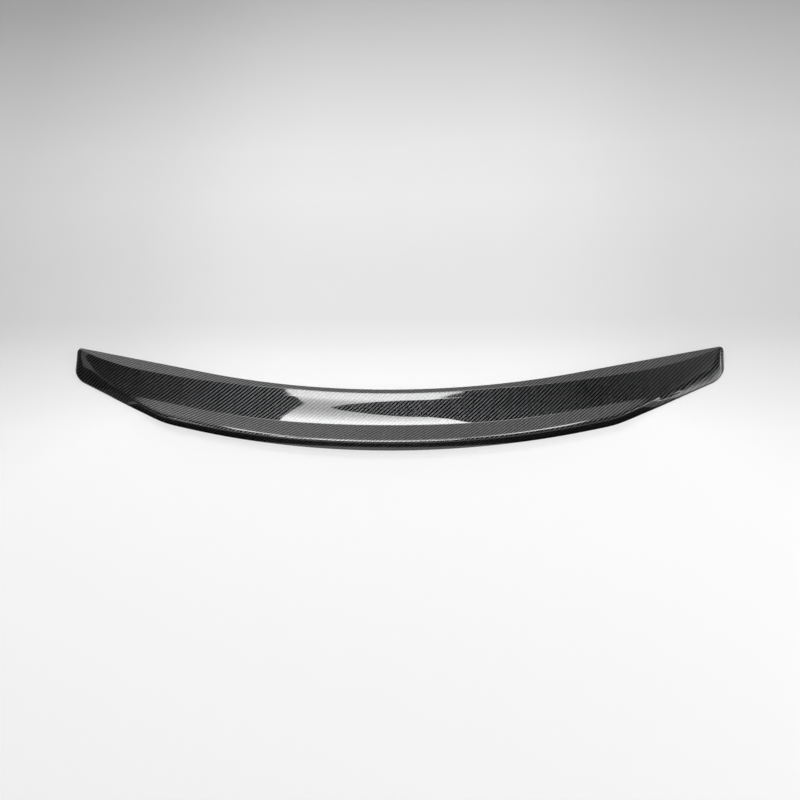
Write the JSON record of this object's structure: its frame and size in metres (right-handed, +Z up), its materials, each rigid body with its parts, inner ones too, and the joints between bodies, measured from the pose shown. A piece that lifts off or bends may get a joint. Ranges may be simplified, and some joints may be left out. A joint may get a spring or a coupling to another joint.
{
  "type": "car rear spoiler",
  "caption": "Low crescent-shaped boot-lid spoiler skin with a leading ramp, hollow deck, raised rear lip that fades out before swept blunt tips, and an inward flange to bond on.",
  "frame": {"origin": "middle of the bounding box, on the plane that the flat rear rim stands on", "axes": "+X to the right seen from behind the car, +Y forward along the car, +Z up"},
  "size_m": [1.15, 0.207, 0.0283],
  "materials": {
    "carbon": "2x2 twill carbon cloth under a clear gloss coat, tows about 2 mm wide"
  },
  "bodies": {
    "root": {"spoiler_shell": "carbon"}
  },
  "joints": []
}
